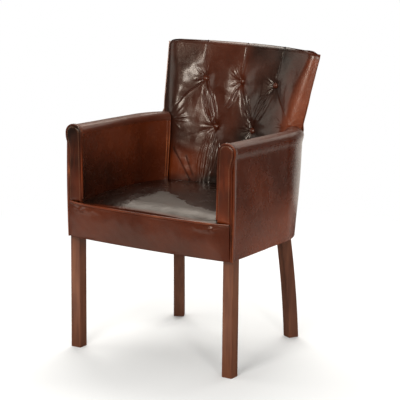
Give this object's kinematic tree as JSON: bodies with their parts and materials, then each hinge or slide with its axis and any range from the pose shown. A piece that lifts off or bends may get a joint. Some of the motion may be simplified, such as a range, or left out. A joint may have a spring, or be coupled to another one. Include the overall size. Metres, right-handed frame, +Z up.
{
  "type": "club chair",
  "caption": "Upholstered armchair in worn brown leather with a curved button-tufted back, rolled arms, a bowed sprung seat, straight front legs and splayed sabre rear legs.",
  "frame": {"origin": "on the floor, under the middle of the chair's overall box", "axes": "+X to the right-hand side seen from the front, +Y to the back, +Z up"},
  "size_m": [0.5956, 0.6097, 0.893],
  "materials": {
    "leather_cover": "glossy waxed hide, dark brown, worn to orange brown at the edges",
    "plain_beech": "planed, unfinished",
    "jute_webbing": "plain woven",
    "leather_button": "glossy waxed hide, darkened",
    "twine": "waxed, twisted",
    "black_cloth": "fine weave",
    "leather_welt": "glossy waxed hide over cord",
    "stained_beech": "mahogany stain under satin polish",
    "zinc_steel": "zinc plated",
    "seat_foam": "open cell"
  },
  "bodies": {
    "root": {"arm_cover_left": "leather_cover", "arm_cover_right": "leather_cover", "arm_facing_left": "leather_cover", "arm_facing_right": "leather_cover", "arm_low_rail_left": "plain_beech", "arm_low_rail_right": "plain_beech", "arm_post_left": "plain_beech", "arm_post_right": "plain_beech", "arm_rail_left": "plain_beech", "arm_rail_right": "plain_beech", "back_low_rail": "plain_beech", "back_post_left": "plain_beech", "back_post_right": "plain_beech", "back_webbing": "jute_webbing", "button_lower_left": "leather_button", "button_lower_right": "leather_button", "button_ties": "twine", "button_upper_left": "leather_button", "button_upper_middle": "leather_button", "button_upper_right": "leather_button", "crest_rail": "plain_beech", "dust_cover": "black_cloth", "facing_welt_left": "leather_welt", "facing_welt_right": "leather_welt", "front_corner_block_left": "plain_beech", "front_corner_block_right": "plain_beech", "front_leg_left": "stained_beech", "front_leg_right": "stained_beech", "front_seat_rail": "plain_beech", "inside_back": "leather_cover", "leg_bolts": "zinc_steel", "outside_arm_left": "leather_cover", "outside_arm_right": "leather_cover", "outside_back": "leather_cover", "rear_corner_block_left": "plain_beech", "rear_corner_block_right": "plain_beech", "rear_leg_left": "stained_beech", "rear_leg_right": "stained_beech", "rear_seat_rail": "plain_beech", "seat_foam": "seat_foam", "seat_front_border": "leather_cover", "seat_top": "leather_cover", "seat_webbing_cross": "jute_webbing", "seat_webbing_long": "jute_webbing", "seat_welt": "leather_welt", "side_seat_rail_left": "plain_beech", "side_seat_rail_right": "plain_beech"}
  },
  "joints": []
}
